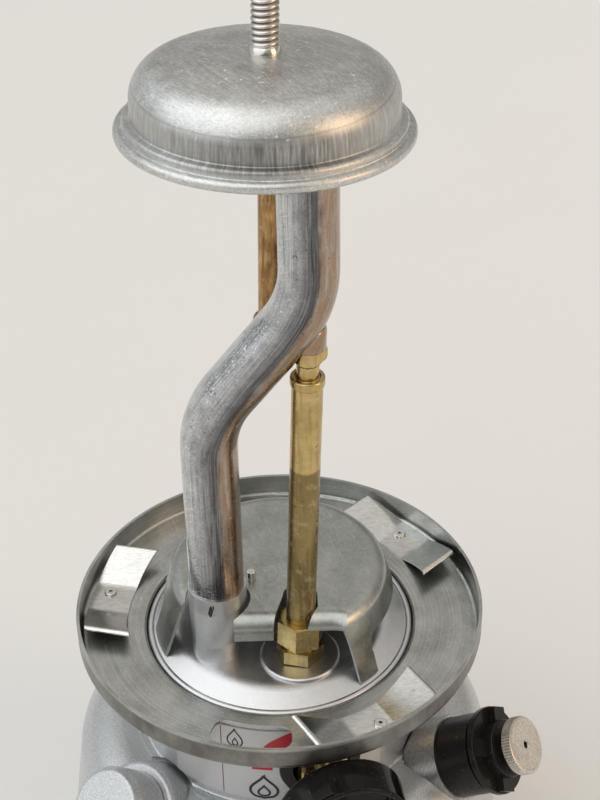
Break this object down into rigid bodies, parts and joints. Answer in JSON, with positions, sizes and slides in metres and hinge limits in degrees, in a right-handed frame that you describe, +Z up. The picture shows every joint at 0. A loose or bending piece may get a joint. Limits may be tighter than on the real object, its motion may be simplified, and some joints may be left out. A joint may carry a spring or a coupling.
{
  "type": "pressure lantern",
  "caption": "Single-mantle gasoline pressure lantern without globe or top: flared fount, pump, valve, generator, air tube and burner dome.",
  "frame": {"origin": "middle of the circle that the fount stands on", "axes": "+Z up along the fount and the threaded stud, -Y to the valve knob, +X to the pump side"},
  "size_m": [0.1325, 0.1292, 0.3045],
  "materials": {
    "silver_paint": "smooth silver-grey enamel with a fine metallic fleck",
    "satin_aluminium": "satin pressed aluminium with drawing marks and light soot",
    "spring_steel": "bright rolled spring steel",
    "bright_steel": "plated, bright",
    "plain_steel": "plain steel",
    "brass": "turned brass, heat-darkened in places",
    "gloss_black_plastic": "gloss black moulding",
    "black_plastic": "satin black moulding",
    "knurled_steel": "turned and knurled disc",
    "rubber": "matte rubber",
    "leather": "oiled leather",
    "label_white": "white printed foil, left blank"
  },
  "bodies": {
    "lantern": {"fount_shell": "silver_paint", "fount_bottom": "silver_paint", "filler_neck": "plain_steel", "pump_cylinder": "plain_steel", "check_valve": "brass", "check_ball": "plain_steel", "pump_cap": "black_plastic", "collar": "silver_paint", "label_plate": "label_white", "valve_grommet": "rubber", "globe_rest": "satin_aluminium", "inner_pan": "satin_aluminium", "air_tube": "satin_aluminium", "generator_bushing": "brass", "frame_nut": "brass", "generator_nut": "brass", "generator_tube": "brass", "generator_neck": "brass", "valve_body": "brass", "fuel_pickup_tube": "brass", "packing": "rubber", "packing_nut": "brass", "heat_shield": "satin_aluminium", "shield_screw": "spring_steel", "clip_rivets": "spring_steel", "burner_dome": "satin_aluminium", "burner_base": "satin_aluminium", "burner_tube": "brass", "burner_screen": "spring_steel", "threaded_stud": "bright_steel", "stud_nut": "bright_steel", "globe_clip_left": "spring_steel", "globe_clip_right": "spring_steel", "globe_clip_front": "spring_steel"},
    "valve_control": {"valve_stem": "plain_steel", "valve_knob": "gloss_black_plastic", "knob_screw": "bright_steel"},
    "needle": {"cleaning_needle": "plain_steel"},
    "air_stem": {"air_stem": "plain_steel"},
    "plunger": {"pump_rod": "plain_steel", "pump_cup": "leather", "cup_retainer": "plain_steel", "pump_knob": "knurled_steel"},
    "cap_seal": {"filler_gasket": "rubber", "cap_insert": "plain_steel"},
    "filler_cap": {"filler_cap": "silver_paint"}
  },
  "joints": [
    {"name": "valve_turn", "type": "hinge", "parent": "lantern", "child": "valve_control", "pos_m": [0.00417, -0.017, 0.09481], "axis": [0.2587, -0.9659, -0.0093], "range_deg": [0, 180]},
    {"name": "needle_lift", "type": "slide", "parent": "lantern", "child": "needle", "axis": [0.0359, 0, 0.9994], "range_m": [0, 0.002]},
    {"name": "air_stem_turn", "type": "hinge", "parent": "lantern", "child": "air_stem", "pos_m": [0.04571, -0.02132, 0.07839], "axis": [0.7514, -0.3504, 0.5592], "range_deg": [0, 360]},
    {"name": "pump_plunge", "type": "slide", "parent": "air_stem", "child": "plunger", "axis": [0.7514, -0.3504, 0.5592], "range_m": [0, 0.04]},
    {"name": "cap_lift", "type": "slide", "parent": "lantern", "child": "cap_seal", "axis": [-0.5337, -0.4639, 0.7071], "range_m": [0, 0.0045]},
    {"name": "cap_turn", "type": "hinge", "parent": "cap_seal", "child": "filler_cap", "pos_m": [-0.03354, -0.02915, 0.068], "axis": [-0.5337, -0.4639, 0.7071], "range_deg": [0, 1080]}
  ],
  "couplings": [
    {"joint": "needle_lift", "follows": "valve_turn", "m_per_rad": 0.00063662},
    {"joint": "cap_lift", "follows": "cap_turn", "m_per_rad": 0.00023873}
  ]
}
